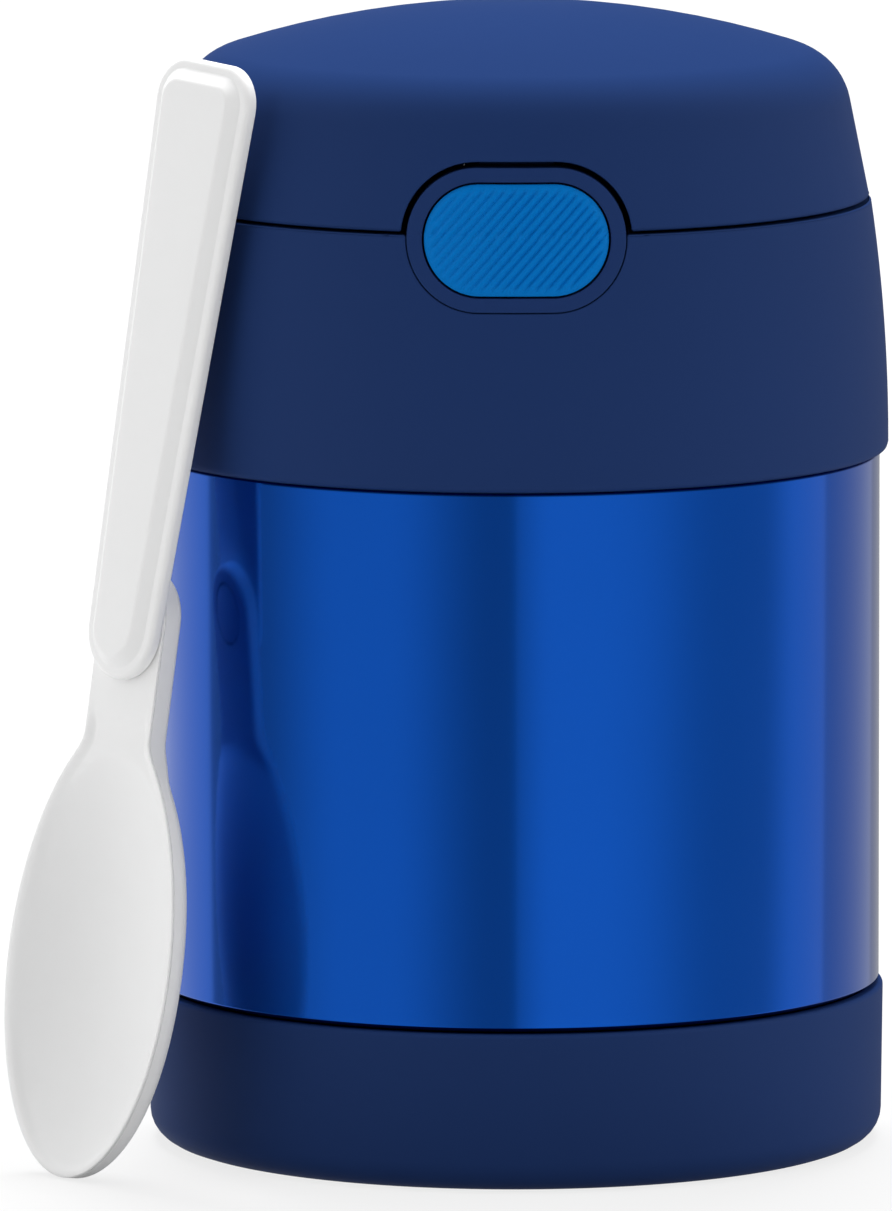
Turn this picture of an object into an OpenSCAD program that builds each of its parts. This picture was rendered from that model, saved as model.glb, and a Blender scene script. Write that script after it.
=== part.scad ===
// Insulated food jar with a screw lid, a flip-up cover over a spoon well, and a folding spoon.
// Millimetres. Origin on the jar's axis at the floor, +X right, +Y to the hinge, +Z up.

/* [Body] */
// Radius of the steel body
body_r = 43.5; // [38:0.1:50]
// Height where the body turns in to its shoulder
body_top = 82; // [70:0.5:95]
// How far the neck lies inside the body
neck_step = 6.9; // [5:0.1:10]
// Height of the lip over the body
neck_h = 15; // [12:0.5:20]
// Rise of the steel shoulder
shoulder_h = 6.4; // [4:0.1:10]
// Sheet thickness of the outer shell
shell_t = 0.6; // [0.4:0.1:1]
// Sheet thickness of the inner vessel
vessel_t = 0.5; // [0.4:0.1:1]
// Width of the vacuum space
vacuum_gap = 5.4; // [3:0.1:8]
// Width of the vacuum space in the neck
neck_gap = 0.7; // [0.4:0.1:1.5]
// Height of the food space's floor
food_z = 12.5; // [11:0.5:20]
// Floor radius of the food space
vessel_round = 6; // [3:0.5:10]

/* [Base] */
// How far the base cup stands out from the body
base_over = 0.5; // [0.2:0.1:2]
// Height of the base cup
base_h = 18.9; // [10:0.1:30]
// Edge radius of the base cup
base_round = 3.6; // [1:0.1:6]
// Floor thickness of the base cup
base_t = 3; // [2:0.1:5]
// Wall thickness of the base cup
base_wall = 1.7; // [1:0.1:3]
// Distance of the underside's groove from the rim
groove_in = 11; // [8:0.5:20]
// Width of the underside's groove
groove_w = 2; // [1:0.1:4]
// Depth of the underside's groove
groove_d = 0.8; // [0.4:0.1:1.5]

/* [Lid] */
// How far the collar stands out from the body
collar_over = 1.05; // [0.5:0.05:3]
// How far the collar draws in to the parting line
collar_taper = 2.15; // [0:0.05:5]
// Gap between the body's edge and the collar
collar_gap = 1; // [0.5:0.1:3]
// Height of the parting line over the lip
part_h = 16.1; // [12:0.1:24]
// Wall thickness of the upper collar
collar_wall = 2; // [1.2:0.1:3]
// Wall thickness of the collar's skirt
skirt_wall = 2.15; // [1.2:0.05:3]
// Rise of the lid in one full turn
lift = 10; // [6:0.5:14]
// Thickness of the lid's mouldings
mould_t = 1.6; // [1:0.1:3]
// Room for the thread between neck and skirt
thread_room = 1.6; // [1:0.1:3]
// Height of the lid's flange above the seal
deck_t = 2; // [1.5:0.1:4]
// Thickness of the lip seal
seal_t = 1.6; // [1:0.1:3]
// Height of the insulation above the flange
core_h = 6.4; // [4:0.1:7.5]
// Thickness of the spoon well's floor
tray_t = 1.4; // [1:0.1:2]

/* [Cover] */
// Height of the cover over the parting line
cover_h = 23.25; // [18:0.05:35]
// Step from the collar's rim in to the cover
cover_step = 0.2; // [0:0.05:1]
// Lean of the cover's wall in degrees
cover_lean = 11.3; // [0:0.1:20]
// Radius of the domed top
dome_r = 113; // [80:1:200]
// Radius of the cover's shoulder
cover_round = 8; // [4:0.1:12]
// Wall thickness of the cover
cover_t = 1.8; // [1:0.1:3]
// Gap at the parting line
part_gap = 0.2; // [0.1:0.05:0.5]
// Depth of the liner's underside below the crown
liner_in = 10.35; // [9:0.05:13]
// Thickness of the cover's liner
liner_t = 1.2; // [0.8:0.1:2]

/* [Button] */
// Drop of the button's centre below the parting line
btn_drop = 0.6; // [0:0.1:2]
// Button length
btn_w = 21.4; // [14:0.1:28]
// Button height
btn_h = 12.7; // [8:0.1:14]
// Width of the bezel's frame
bezel_t = 1.65; // [1:0.05:3]
// Clearance round the button
btn_gap = 0.35; // [0.3:0.05:0.6]
// Gap between cover and bezel
arch_gap = 0.7; // [0.4:0.05:1.2]
// Depth of the button's back face behind the rim
btn_in = 3.9; // [3:0.1:5]
// Depth of the bezel's back face behind the rim
bezel_in = 6.2; // [5:0.1:6.6]
// Push of the button
btn_push = 2.5; // [1:0.1:2.6]

/* [Hinge] */
// Distance of the hinge axis inside the rim
hinge_in = 2.8; // [2.4:0.1:5]
// Height of the hinge axis over the parting line
hinge_up = 1.5; // [1:0.1:3]
// Knuckle radius
knuckle_r = 2.9; // [2:0.1:4]
// Hinge pin radius
pin_r = 1; // [0.6:0.1:1.5]
// Half width of the cover's knuckles
knuckle_x = 6; // [4:0.1:8]
// Width of each ear of the collar
ear_w = 5.2; // [3:0.1:6]
// Room round the knuckles for the cover's swing
swing_gap = 2; // [1.5:0.1:3]

/* [Spoon] */
// Distance of the spoon's pivot outside the collar's rim
spoon_out = 9.53; // [8:0.01:20]
// Sideways place of the spoon's pivot
spoon_side = -8.72; // [-20:0.01:20]
// Pivot height
spoon_z = 66.15; // [50:0.01:80]
// Turn of the spoon's face from the front
spoon_turn = 50; // [0:0.5:90]
// Lean of the spoon
spoon_lean = 9; // [0:0.1:20]
// Roll of the spoon in its own plane
spoon_roll = -0.8; // [-5:0.1:5]
// Handle length from the pivot
handle_l = 66.3; // [50:0.1:80]
// Half width of the handle at its end
handle_w = 8.6; // [5:0.1:10]
// Radius of the handle's pivot end
handle_r = 6.1; // [4:0.1:9]
// Distance of the pivot end's centre beyond the pivot
handle_drop = 1.3; // [0:0.1:3]
// Angle of the unfolded handle to the bowl's line
handle_tilt = 2.4; // [0:0.1:6]
// Thickness of the handle's edge
handle_t = 1.6; // [1:0.1:3]
// Height of the handle's raised panel
panel_t = 1.1; // [0.5:0.1:2]
// Bowl length from the pivot
bowl_l = 66.4; // [50:0.1:80]
// Half width of the bowl
bowl_w = 15; // [10:0.05:20]
// Thickness of the neck
neck_t = 3.1; // [2:0.1:5]
// Half width of the neck
neck_w = 6; // [4:0.1:8]
// Depth of the bowl outside
bowl_d = 8.2; // [5:0.1:12]
// Depth of the bowl's hollow
hollow_d = 6.2; // [3:0.1:10]
// Spoon pivot radius
pivot_r = 2.2; // [1.5:0.1:3]
// Running clearance of pins
run = 0.05; // [0.02:0.01:0.1]
// Clearance between fixed round parts
snug = 0.1; // [0.05:0.01:0.3]

/* [Hidden] */
$fn = 96;
neck_r = body_r - neck_step;
lip_z = body_top + neck_h;
food_r = body_r - shell_t - vacuum_gap - vessel_t;
mouth_r = neck_r - shell_t - neck_gap - vessel_t;
base_r = body_r + base_over;
foot_r = base_r - base_wall - snug;
groove_r = base_r - groove_in;
swage_h = 0.7;
base_draft = 0.25;
throat_low = 2;
throat_high = 2.5;
bottom_rise = 4;
seal_disc_r = 5;
seal_disc_t = 0.6;
collar_r = body_r + collar_over;
rim_r = collar_r - collar_taper;
collar_z = body_top + collar_gap;
part_z = lip_z + part_h;
seal_z = lip_z + seal_t;
deck_z = seal_z + deck_t;
core_z = deck_z + core_h;
well_z = core_z + tray_t;
plug_gap = 0.8;
plug_r = mouth_r - plug_gap;
plug_rise = 0.3;
plug_z = lip_z - lift + plug_rise;
plug_cap_t = 1;
seal_in = 0.5;
thread_r = neck_r + thread_room;
skirt_gap = 0.7;
skirt_z = body_top + shoulder_h * (body_r - thread_r) / neck_step + skirt_gap;
bore_r = collar_r - skirt_wall;
bore_flare = 0.7;
hem_in = 0.8;
hem_out = 0.2;
upper_r = rim_r - collar_wall;
drum_gap = 0.2;
drum_r = upper_r - drum_gap;
edge = 0.3;
collar_arc_z = collar_z + 1;
belly_h = part_z - collar_arc_z;
belly_r = (belly_h * belly_h + collar_taper * collar_taper) / (2 * collar_taper);
cover_r = rim_r - cover_step;
cover_z = part_z + part_gap;
crown_z = part_z + cover_h;
liner_z = crown_z - liner_in;
btn_z = part_z - btn_drop;
btn_back = rim_r - btn_in;
bezel_back = rim_r - bezel_in;
bezel_side = 0.3;
bezel_w = btn_w + 2 * (btn_gap + bezel_t) + bezel_side;
bezel_h = btn_h + 2 * (btn_gap + bezel_t);
hinge_y = rim_r - hinge_in;
hinge_z = part_z + hinge_up;
ear_gap = 0.3;
ear_x = knuckle_x + ear_gap + ear_w;
ear_d = 3.4;
ear_root = 0.5;
ear_proud = 0.6;
swing_r = knuckle_r + swing_gap;
relief_side = 3.2;
relief_x = ear_x + relief_side;
bay_side = 2.15;
bay_w = bezel_w / 2 + bay_side;
bay_in = 14.8;
bay_y = rim_r - bay_in;
bay_t = 1.2;
bay_z = btn_z - bezel_h / 2;
window_in = 7.6;
front_y = bay_y - window_in;
reach = 2 * rim_r;
well_gap = 0.6;
well_top = part_z - well_gap;
wall_gap = 0.3;
wall_y = hinge_y - swing_r - wall_gap;
pin_fit = 0.03;
spring_x = 2.4;
coil_side = 0.2;
coil_t = 0.5;
coil_gap = 0.35;
latch_up = 2.2;
latch_z = btn_z + latch_up;
latch_t = 1.6;
latch_in = 5.6;
latch_far = 10.2;
latch_y = rim_r - latch_far;
latch_d = 1.5;
catch_w = 4.5;
catch_in = 7;
catch_y = rim_r - catch_in;
catch_t = 1.6;
hook_t = 1.2;
hook_up = 0.1;
hook_z = btn_z + hook_up;
hook_h = 1.8;
root_h = 5;
root_d = 4;
coil_down = 3.1;
coil_z = btn_z - coil_down;
coil_r = 2.8;
boss_r = 2.5;
boss_at = 24;
boss_root = 0.6;
border = 1.3;
inset = 2.7;
handle_c = 5;
cap_r = 3.6;
cap_t = 0.95;
cap_gap = 0.3;
mid_z = -41;
shoulder_z = -13;
rim_t = 1.5;
rim_drop = 0.3;
long_r = 70;
cross_r = 24;
eps = 0.01;

// Wall line, shoulder centre and dome centre of a cover surface lying t inside the outer one.
wall_n = [cos(cover_lean), sin(cover_lean)];
wall_d = [-sin(cover_lean), cos(cover_lean)];
dome_c = [0, crown_z - dome_r];
arc_p = [cover_r, cover_z] - cover_round * wall_n;
arc_q = arc_p - dome_c;
arc_b = arc_q * wall_d;
arc_e = arc_q * arc_q - (dome_r - cover_round) * (dome_r - cover_round);
arc_s = -arc_b + sqrt(arc_b * arc_b - arc_e);
arc_c = arc_p + arc_s * wall_d;
arc_top = atan2(arc_c[1] - dome_c[1], arc_c[0] - dome_c[0]);

// Points of an arc round c from the angle a to b.
function arc(c, r, a, b, n) =
  [for (i = [0 : n]) let (g = a + (b - a) * i / n) [c[0] + r * cos(g), c[1] + r * sin(g)]];

// Outside radius of the collar at a height.
function collar_at(z) =
  let (h = max(0, z - collar_arc_z))
  collar_r - belly_r + sqrt(belly_r * belly_r - h * h);

function foot_at(t) = [cover_r, cover_z] - t * wall_n;

// Inside radius of the cover at a height in its shoulder or dome.
function cover_in(z) =
  let (r = cover_round - cover_t, c = arc_c, d = dome_r - cover_t)
  z < c[1] + r * sin(arc_top) ? c[0] + sqrt(r * r - (z - c[1]) * (z - c[1]))
    : sqrt(d * d - (z - dome_c[1]) * (z - dome_c[1]));

function dome_curve(t) = concat(
  arc(arc_c, cover_round - t, cover_lean, arc_top, 10),
  arc(dome_c, dome_r - t, arc_top, 90, 10));

// Steel body.

module outer_shell() {
  color("royalblue")
  rotate_extrude()
  polygon([
    [foot_r, base_t], [foot_r, base_h], [body_r, base_h + swage_h],
    [body_r, body_top], [neck_r, body_top + shoulder_h], [neck_r, lip_z - shell_t],
    [neck_r - shell_t, lip_z - shell_t], [neck_r - shell_t, body_top + shoulder_h - edge],
    [body_r - shell_t, body_top - edge], [body_r - shell_t, base_h + swage_h + edge],
    [foot_r - shell_t, base_h + edge], [foot_r - shell_t, base_t]]);
}

module vessel_side(r, z, round) {
  polygon(concat([[0, z]], arc([r - round, z + round], round, -90, 0, 8),
    [[r, body_top - throat_low], [mouth_r + r - food_r, body_top + throat_high],
      [mouth_r + r - food_r, lip_z], [0, lip_z]]));
}

module inner_vessel() {
  color("silver")
  rotate_extrude()
  difference() {
    union() {
      vessel_side(food_r + vessel_t, food_z - vessel_t, vessel_round + vessel_t);
      translate([0, lip_z - shell_t])
      square([neck_r, shell_t]);
    }
    vessel_side(food_r, food_z, vessel_round);
    translate([0, lip_z - eps])
    square([mouth_r, 1]);
  }
}

module outer_bottom() {
  rim = foot_r - shell_t - snug;
  top = base_t + bottom_rise;
  color("silver")
  rotate_extrude()
  polygon([
    [0, top], [rim - shell_t, top], [rim - shell_t, base_t],
    [rim, base_t], [rim, top + shell_t], [0, top + shell_t]]);
}

module vacuum_seal() {
  color("dimgray")
  translate([0, 0, base_t + bottom_rise - seal_disc_t])
  cylinder(h = seal_disc_t, r = seal_disc_r);
}

module base_cup() {
  color("midnightblue")
  rotate_extrude()
  polygon(concat(
    [[0, 0], [groove_r - groove_w, 0], [groove_r - groove_w, groove_d], [groove_r, groove_d], [groove_r, 0]],
    arc([base_r - base_draft - base_round, base_round], base_round, -90, 0, 8),
    [[base_r, base_h - edge], [base_r - edge, base_h], [foot_r + snug, base_h],
      [foot_r + snug, base_t], [0, base_t]]));
}

// Screw lid.

module lip_seal() {
  color("whitesmoke")
  translate([0, 0, lip_z])
  difference() {
    cylinder(h = seal_t, r = neck_r - snug);
    translate([0, 0, -1])
    cylinder(h = seal_t + 2, r = plug_r + seal_in);
  }
}

// Outline of the closed lid, used to make the button, the bezel and the ears flush.
module lid_outline(z0) {
  h = max(0, part_z - z0);
  below = h > 0 ? [for (i = [0 : 8]) let (z = z0 + h * i / 8) [collar_at(z), z]] : [];
  rotate_extrude()
  polygon(concat([[0, z0]], below, [[cover_r, cover_z]], dome_curve(0)));
}

module stadium(w, h) {
  translate([-(w - h) / 2, 0])
  circle(r = h / 2);
  translate([(w - h) / 2, 0])
  circle(r = h / 2);
  square([w - h, h], center = true);
}

// Stadium block across the front of the lid, reaching back to the depth y.
module stadium_block(w, h, y) {
  translate([0, -y, btn_z])
  rotate([90, 0, 0])
  linear_extrude(height = reach - y)
  stadium(w, h);
}

module hinge_rod(r, x0, x1) {
  translate([x0, hinge_y, hinge_z])
  rotate([0, 90, 0])
  cylinder(h = x1 - x0, r = r);
}

module lid_collar() {
  color("midnightblue")
  difference() {
    union() {
      difference() {
        rotate_extrude()
        polygon(concat(
          [[bore_r + bore_flare, collar_z], [collar_r - hem_in, collar_z],
            [collar_r - hem_out, collar_z + edge]],
          [for (i = [0 : 12]) let (z = collar_arc_z + (belly_h - edge) * i / 12) [collar_at(z), z]],
          [[rim_r - edge, part_z], [upper_r, part_z], [upper_r, deck_z], [bore_r, deck_z],
            [bore_r, collar_z + 2 * bore_flare]]));
        stadium_block(bezel_w + 2 * snug, bezel_h + 2 * snug, front_y);
        hinge_rod(swing_r, -relief_x, relief_x);
      }
      intersection() {
        union() {
          collar_ear(1);
          collar_ear(-1);
        }
        cylinder(h = crown_z, r = rim_r + ear_proud);
      }
    }
    hinge_rod(pin_r + pin_fit, -ear_x - 1, ear_x + 1);
  }
}

module collar_ear(s) {
  x0 = knuckle_x + ear_gap;
  ear_y = rim_r - collar_wall - ear_d / 2 - ear_root;
  hinge_rod(knuckle_r, s > 0 ? x0 : -ear_x, s > 0 ? ear_x : -x0);
  translate([s > 0 ? x0 : -ear_x, ear_y, hinge_z - swing_r - ear_root])
  cube([ear_x - x0, ear_d, swing_r + ear_root]);
}

// Pocket in the lid's moulding that holds the latch, as a block grown by g.
module bay_block(g, z0, z1) {
  translate([-bay_w - g, -reach, z0])
  cube([2 * (bay_w + g), reach - bay_y + g, z1 - z0]);
}

module lid_body() {
  color("lightgray")
  difference() {
    union() {
      rotate_extrude()
      polygon([
        [plug_r - mould_t, plug_z + plug_cap_t], [plug_r, plug_z + plug_cap_t], [plug_r, seal_z],
        [thread_r, seal_z], [thread_r, skirt_z], [thread_r + mould_t, skirt_z], [thread_r + mould_t, seal_z],
        [bore_r - snug, seal_z], [bore_r - snug, deck_z], [drum_r, deck_z], [drum_r, core_z],
        [drum_r - mould_t, core_z], [drum_r - mould_t, deck_z], [plug_r - mould_t, deck_z]]);
      intersection() {
        bay_block(bay_t, bay_z - bay_t, core_z);
        translate([0, 0, deck_z - 1])
        cylinder(h = core_h + 1, r = drum_r);
      }
    }
    bay_block(0, bay_z, core_z + 1);
  }
}

module plug_foam() {
  color("wheat")
  difference() {
    union() {
      translate([0, 0, plug_z + plug_cap_t])
      cylinder(h = deck_z - plug_z - plug_cap_t, r = plug_r - mould_t - snug);
      translate([0, 0, deck_z])
      cylinder(h = core_h - snug, r = drum_r - mould_t - snug);
    }
    bay_block(bay_t + snug, bay_z - bay_t - snug, core_z + 1);
  }
}

module plug_cap() {
  color("silver")
  translate([0, 0, plug_z])
  cylinder(h = plug_cap_t, r = plug_r);
}

module spoon_well() {
  color("midnightblue")
  difference() {
    intersection() {
      union() {
        translate([0, 0, core_z])
        cylinder(h = tray_t, r = upper_r - snug);
        difference() {
          translate([0, 0, core_z])
          cylinder(h = well_top - core_z, r = upper_r - snug);
          translate([0, 0, core_z - 1])
          cylinder(h = well_top - core_z + 2, r = upper_r - snug - bay_t);
        }
        bay_block(bay_t, core_z, well_top);
        translate([-rim_r, wall_y - bay_t, core_z])
        cube([2 * rim_r, bay_t, well_top - core_z]);
      }
      translate([0, 0, core_z])
      cylinder(h = well_top - core_z, r = upper_r - snug);
    }
    bay_block(0, core_z - 1, well_top + 1);
    translate([-rim_r, wall_y, well_z])
    cube([2 * rim_r, rim_r, rim_r]);
  }
}

module button_bezel() {
  color("midnightblue")
  difference() {
    intersection() {
      stadium_block(bezel_w, bezel_h, bezel_back);
      lid_outline(deck_z);
    }
    stadium_block(btn_w + 2 * btn_gap, btn_h + 2 * btn_gap, bezel_back - 1);
  }
}

module hinge_pin() {
  color("silver")
  hinge_rod(pin_r, -ear_x, ear_x);
}

module hinge_spring() {
  color("gray")
  difference() {
    union() {
      hinge_rod(pin_r + coil_gap + coil_t, -spring_x + coil_side, spring_x - coil_side);
      translate([-spring_x + coil_side, hinge_y - pin_r - coil_gap - coil_t, well_z])
      cube([coil_t, coil_t, hinge_z - well_z]);
    }
    hinge_rod(pin_r + coil_gap, -spring_x, spring_x);
  }
}

module button_spring() {
  color("gray")
  translate([0, -bay_y, coil_z])
  rotate([90, 0, 0])
  difference() {
    cylinder(h = btn_back - bay_y, r = coil_r);
    translate([0, 0, -1])
    cylinder(h = btn_back - bay_y + 2, r = coil_r - coil_t);
  }
}

// Flip-up cover.

module cover_shell() {
  color("midnightblue")
  difference() {
    union() {
      difference() {
        rotate_extrude()
        polygon(concat([[0, cover_z], [cover_r, cover_z]], dome_curve(0)));
        rotate_extrude()
        polygon(concat([[0, cover_z - 1], foot_at(cover_t) - [0, 1]], dome_curve(cover_t)));
        stadium_block(bezel_w + 2 * arch_gap, bezel_h + 2 * arch_gap, front_y);
        hinge_rod(swing_r, knuckle_x, ear_x + ear_gap);
        hinge_rod(swing_r, -ear_x - ear_gap, -knuckle_x);
      }
      hinge_rod(knuckle_r, -knuckle_x, knuckle_x);
      intersection() {
        hinge_housing();
        lid_outline(cover_z);
      }
      intersection() {
        translate([-knuckle_x, hinge_y - knuckle_r / 2, hinge_z])
        cube([2 * knuckle_x, rim_r - hinge_y + knuckle_r / 2, swing_r + cover_t]);
        lid_outline(deck_z);
      }
      for (i = [0 : 3])
        rotate([0, 0, 45 + 90 * i])
        liner_boss();
    }
    hinge_rod(pin_r + run, -knuckle_x - 1, knuckle_x + 1);
    hinge_rod(knuckle_r + snug, -spring_x - coil_side, spring_x + coil_side);
  }
}

// Wall inside the cover that closes the room round the ears.
module hinge_housing() {
  end = ear_x + ear_gap;
  difference() {
    hinge_rod(swing_r + bay_t, -end - bay_t, end + bay_t);
    hinge_rod(swing_r, -end, end);
  }
}

module liner_boss() {
  top = dome_c[1] + sqrt((dome_r - cover_t) * (dome_r - cover_t) - boss_at * boss_at) + boss_root;
  translate([boss_at, 0, liner_z + liner_t])
  cylinder(h = top - liner_z - liner_t, r = boss_r);
}

module cover_liner() {
  color("midnightblue")
  translate([0, 0, liner_z])
  cylinder(h = liner_t, r = cover_in(liner_z + liner_t) - snug);
}

module cover_catch() {
  color("midnightblue")
  union() {
    translate([-catch_w, -catch_y, hook_z])
    cube([2 * catch_w, catch_t, liner_z - hook_z]);
    translate([-catch_w, -catch_y, hook_z])
    cube([2 * catch_w, catch_t + hook_t, hook_h]);
    translate([-catch_w, -catch_y, liner_z - root_h])
    cube([2 * catch_w, root_d, root_h]);
  }
}

// Button and latch.

module push_button() {
  color("deepskyblue")
  intersection() {
    stadium_block(btn_w, btn_h, btn_back);
    lid_outline(deck_z);
  }
}

module latch_slide() {
  color("lightgray")
  difference() {
    translate([-latch_in - latch_t, -btn_back, latch_z])
    cube([2 * (latch_in + latch_t), btn_back - latch_y + latch_d, latch_t]);
    translate([-latch_in, -btn_back - latch_t, latch_z - latch_t])
    cube([2 * latch_in, btn_back - latch_y + latch_t, 3 * latch_t]);
  }
}

// Folding spoon, drawn upright with its pivot at the origin and its face to -Y.

module spoon_place() {
  rotate([0, 0, -spoon_turn])
  translate([spoon_side, -rim_r - spoon_out, spoon_z])
  rotate([-spoon_lean, 0, 0])
  rotate([0, -spoon_roll, 0])
  children();
}

// Plate with an XZ outline, between the depths y0 and y1.
module plate(y0, y1) {
  translate([0, y1, 0])
  rotate([90, 0, 0])
  linear_extrude(height = y1 - y0)
  children();
}

module handle_outline(r, w, l, c) {
  translate([0, -handle_drop])
  circle(r = r);
  translate([w - c, l - c])
  circle(r = c);
  translate([c - w, l - c])
  circle(r = c);
  polygon([
    [-r, -handle_drop], [r, -handle_drop], [w, l - c], [w - c, l - c],
    [w - c, l], [c - w, l], [c - w, l - c], [-w, l - c]]);
}

// Half width of the bowl at height z, with its edge moved in by e.
function bowl_half(z, e) =
  let (up = z > mid_z, p = up ? 1.9 : 2, l = (up ? shoulder_z - mid_z : bowl_l + mid_z) - e)
  let (d = abs(z - mid_z) / l)
  (bowl_w - e) * pow(max(0, 1 - pow(d, p)), 1 / p);

module bowl_outline(e) {
  top = shoulder_z - e;
  low = -bowl_l + e;
  heights = concat(
    [for (i = [0 : 12]) top + (mid_z - top) * (1 - cos(90 * i / 12))],
    [for (i = [1 : 14]) mid_z + (low - mid_z) * sin(90 * i / 14)]);
  n = len(heights);
  polygon(concat(
    [for (i = [0 : n - 1]) [bowl_half(heights[i], e), heights[i]]],
    [for (i = [1 : n - 2]) [-bowl_half(heights[n - 1 - i], e), heights[n - 1 - i]]]));
}

// Solid turned about an axis along X: round across with radius c, along with radius l.
module turned(l, c, y) {
  translate([0, y - l, mid_z])
  rotate([0, 90, 0])
  rotate_extrude($fn = 144)
  difference() {
    union() {
      translate([l - c, 0])
      circle(r = c);
      translate([0, -c])
      square([l - c, 2 * c]);
    }
    translate([-2 * l, -l])
    square([2 * l, 2 * l]);
  }
}

module spoon_bowl() {
  in_d = hollow_d - rim_drop;
  in_w = bowl_w - rim_t;
  in_l = bowl_l + mid_z - rim_t;
  color("white")
  spoon_place()
  difference() {
    union() {
      plate(0, neck_t)
      union() {
        circle(r = neck_w);
        translate([-neck_w, shoulder_z - 5])
        square([2 * neck_w, -shoulder_z + 5]);
      }
      intersection() {
        plate(0, bowl_d + 1)
        bowl_outline(0);
        turned(long_r, cross_r, bowl_d);
      }
    }
    intersection() {
      plate(-1, bowl_d)
      bowl_outline(rim_t);
      turned((in_l * in_l + in_d * in_d) / (2 * in_d), (in_w * in_w + in_d * in_d) / (2 * in_d), hollow_d);
    }
    plate(-1, neck_t + 1)
    circle(r = pivot_r + run);
    plate(neck_t - cap_t, neck_t + 1)
    circle(r = cap_r + cap_gap);
  }
}

module spoon_handle() {
  color("white")
  spoon_place()
  rotate([0, handle_tilt, 0])
  union() {
    plate(-handle_t, 0)
    handle_outline(handle_r, handle_w, handle_l, handle_c);
    hull() {
      plate(-handle_t - eps, -handle_t + eps)
      handle_outline(handle_r - border, handle_w - border, handle_l - border, handle_c - 1, $fn = 32);
      plate(-handle_t - panel_t, -handle_t - panel_t + eps)
      handle_outline(handle_r - inset, handle_w - inset, handle_l - inset, handle_c - 2, $fn = 32);
    }
    plate(0, neck_t - cap_t + run)
    circle(r = pivot_r);
  }
}

module spoon_pivot_cap() {
  color("white")
  spoon_place()
  plate(neck_t - cap_t + run, neck_t)
  circle(r = cap_r);
}

outer_shell();
inner_vessel();
outer_bottom();
vacuum_seal();
base_cup();
lip_seal();
lid_collar();
lid_body();
plug_foam();
plug_cap();
spoon_well();
button_bezel();
hinge_pin();
hinge_spring();
button_spring();
cover_shell();
cover_liner();
cover_catch();
push_button();
latch_slide();
spoon_bowl();
spoon_handle();
spoon_pivot_cap();
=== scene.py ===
"""Insulated food jar: steel body, screw lid, flip-up cover over a spoon well, and a folding spoon."""
import math

import bpy
from mathutils import Matrix, Vector


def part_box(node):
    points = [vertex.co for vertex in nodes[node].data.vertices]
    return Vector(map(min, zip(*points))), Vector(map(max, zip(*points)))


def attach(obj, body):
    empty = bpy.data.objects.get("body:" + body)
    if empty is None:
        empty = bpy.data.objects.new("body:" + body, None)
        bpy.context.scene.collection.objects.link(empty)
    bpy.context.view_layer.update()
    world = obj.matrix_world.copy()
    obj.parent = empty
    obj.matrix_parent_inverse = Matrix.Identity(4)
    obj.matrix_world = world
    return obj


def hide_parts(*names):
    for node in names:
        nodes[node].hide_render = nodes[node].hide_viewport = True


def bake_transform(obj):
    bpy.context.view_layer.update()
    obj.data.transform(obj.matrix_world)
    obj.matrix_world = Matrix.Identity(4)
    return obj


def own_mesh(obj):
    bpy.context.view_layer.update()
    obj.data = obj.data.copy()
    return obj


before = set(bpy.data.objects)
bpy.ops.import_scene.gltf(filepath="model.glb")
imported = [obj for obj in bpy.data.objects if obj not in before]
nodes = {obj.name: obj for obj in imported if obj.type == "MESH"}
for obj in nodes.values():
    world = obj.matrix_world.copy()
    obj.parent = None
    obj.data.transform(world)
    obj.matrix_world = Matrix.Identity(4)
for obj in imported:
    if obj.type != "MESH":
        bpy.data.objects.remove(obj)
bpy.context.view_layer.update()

# Sizes below are in millimetres, and MM turns them into the scene's metres.
MM = 0.001


def low(node, axis):
    """A solid's lower end along an axis."""
    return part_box(node)[0][axis] / MM


def high(node, axis):
    """A solid's upper end along an axis."""
    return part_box(node)[1][axis] / MM


X, Y, Z = range(3)

# Camera
PICTURE_H = 1211
FOCAL_PX = 17388
SENSOR = 36
CAMERA_AT = (-8.28, -2059.84, 338.10)
CAMERA_AIM = (-8.28, 0, 63.96)
CAMERA_ROLL = -0.076
# How far the camera sees, in metres.
CLIP_END = 20

# Body
BODY_R = high("outer_shell", X)
LIP_Z = high("inner_vessel", Z)
NECK_R = high("inner_vessel", X)
BODY_TOP = 82
BASE_H = high("base_cup", Z)
BASE_R = high("base_cup", X)

# Lid. The collar stands out over the body and narrows to its rim, on which the cover lies.
COLLAR_OVER = 1.05
COLLAR_TAPER = 2.15
PART_UP = 16.1
COLLAR_R = BODY_R + COLLAR_OVER
RIM_R = COLLAR_R - COLLAR_TAPER
COLLAR_Z = low("lid_collar", Z)
PART_Z = LIP_Z + PART_UP


# Shader maths --------------------------------------------------------------------------------


class Wire:
    """A socket's value in a node tree, which sums and products can be written with."""

    def __init__(self, tree, socket):
        self.tree = tree
        self.socket = socket

    def maths(self, operation, first, second):
        return self.tree.node("ShaderNodeMath", {"operation": operation}, {0: first, 1: second})

    def __add__(self, other):
        return self.maths("ADD", self, other)

    def __sub__(self, other):
        return self.maths("SUBTRACT", self, other)

    def __rsub__(self, other):
        return self.maths("SUBTRACT", other, self)

    def __mul__(self, other):
        return self.maths("MULTIPLY", self, other)

    def __truediv__(self, other):
        return self.maths("DIVIDE", self, other)

    __radd__ = __add__
    __rmul__ = __mul__

    def step(self, start, end):
        """0 before start and 1 after end, with a smooth way between."""
        settings = {"interpolation_type": "SMOOTHSTEP"}
        inputs = {0: self, 1: start, 2: end, 3: 0.0, 4: 1.0}
        return self.tree.node("ShaderNodeMapRange", settings, inputs)


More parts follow.
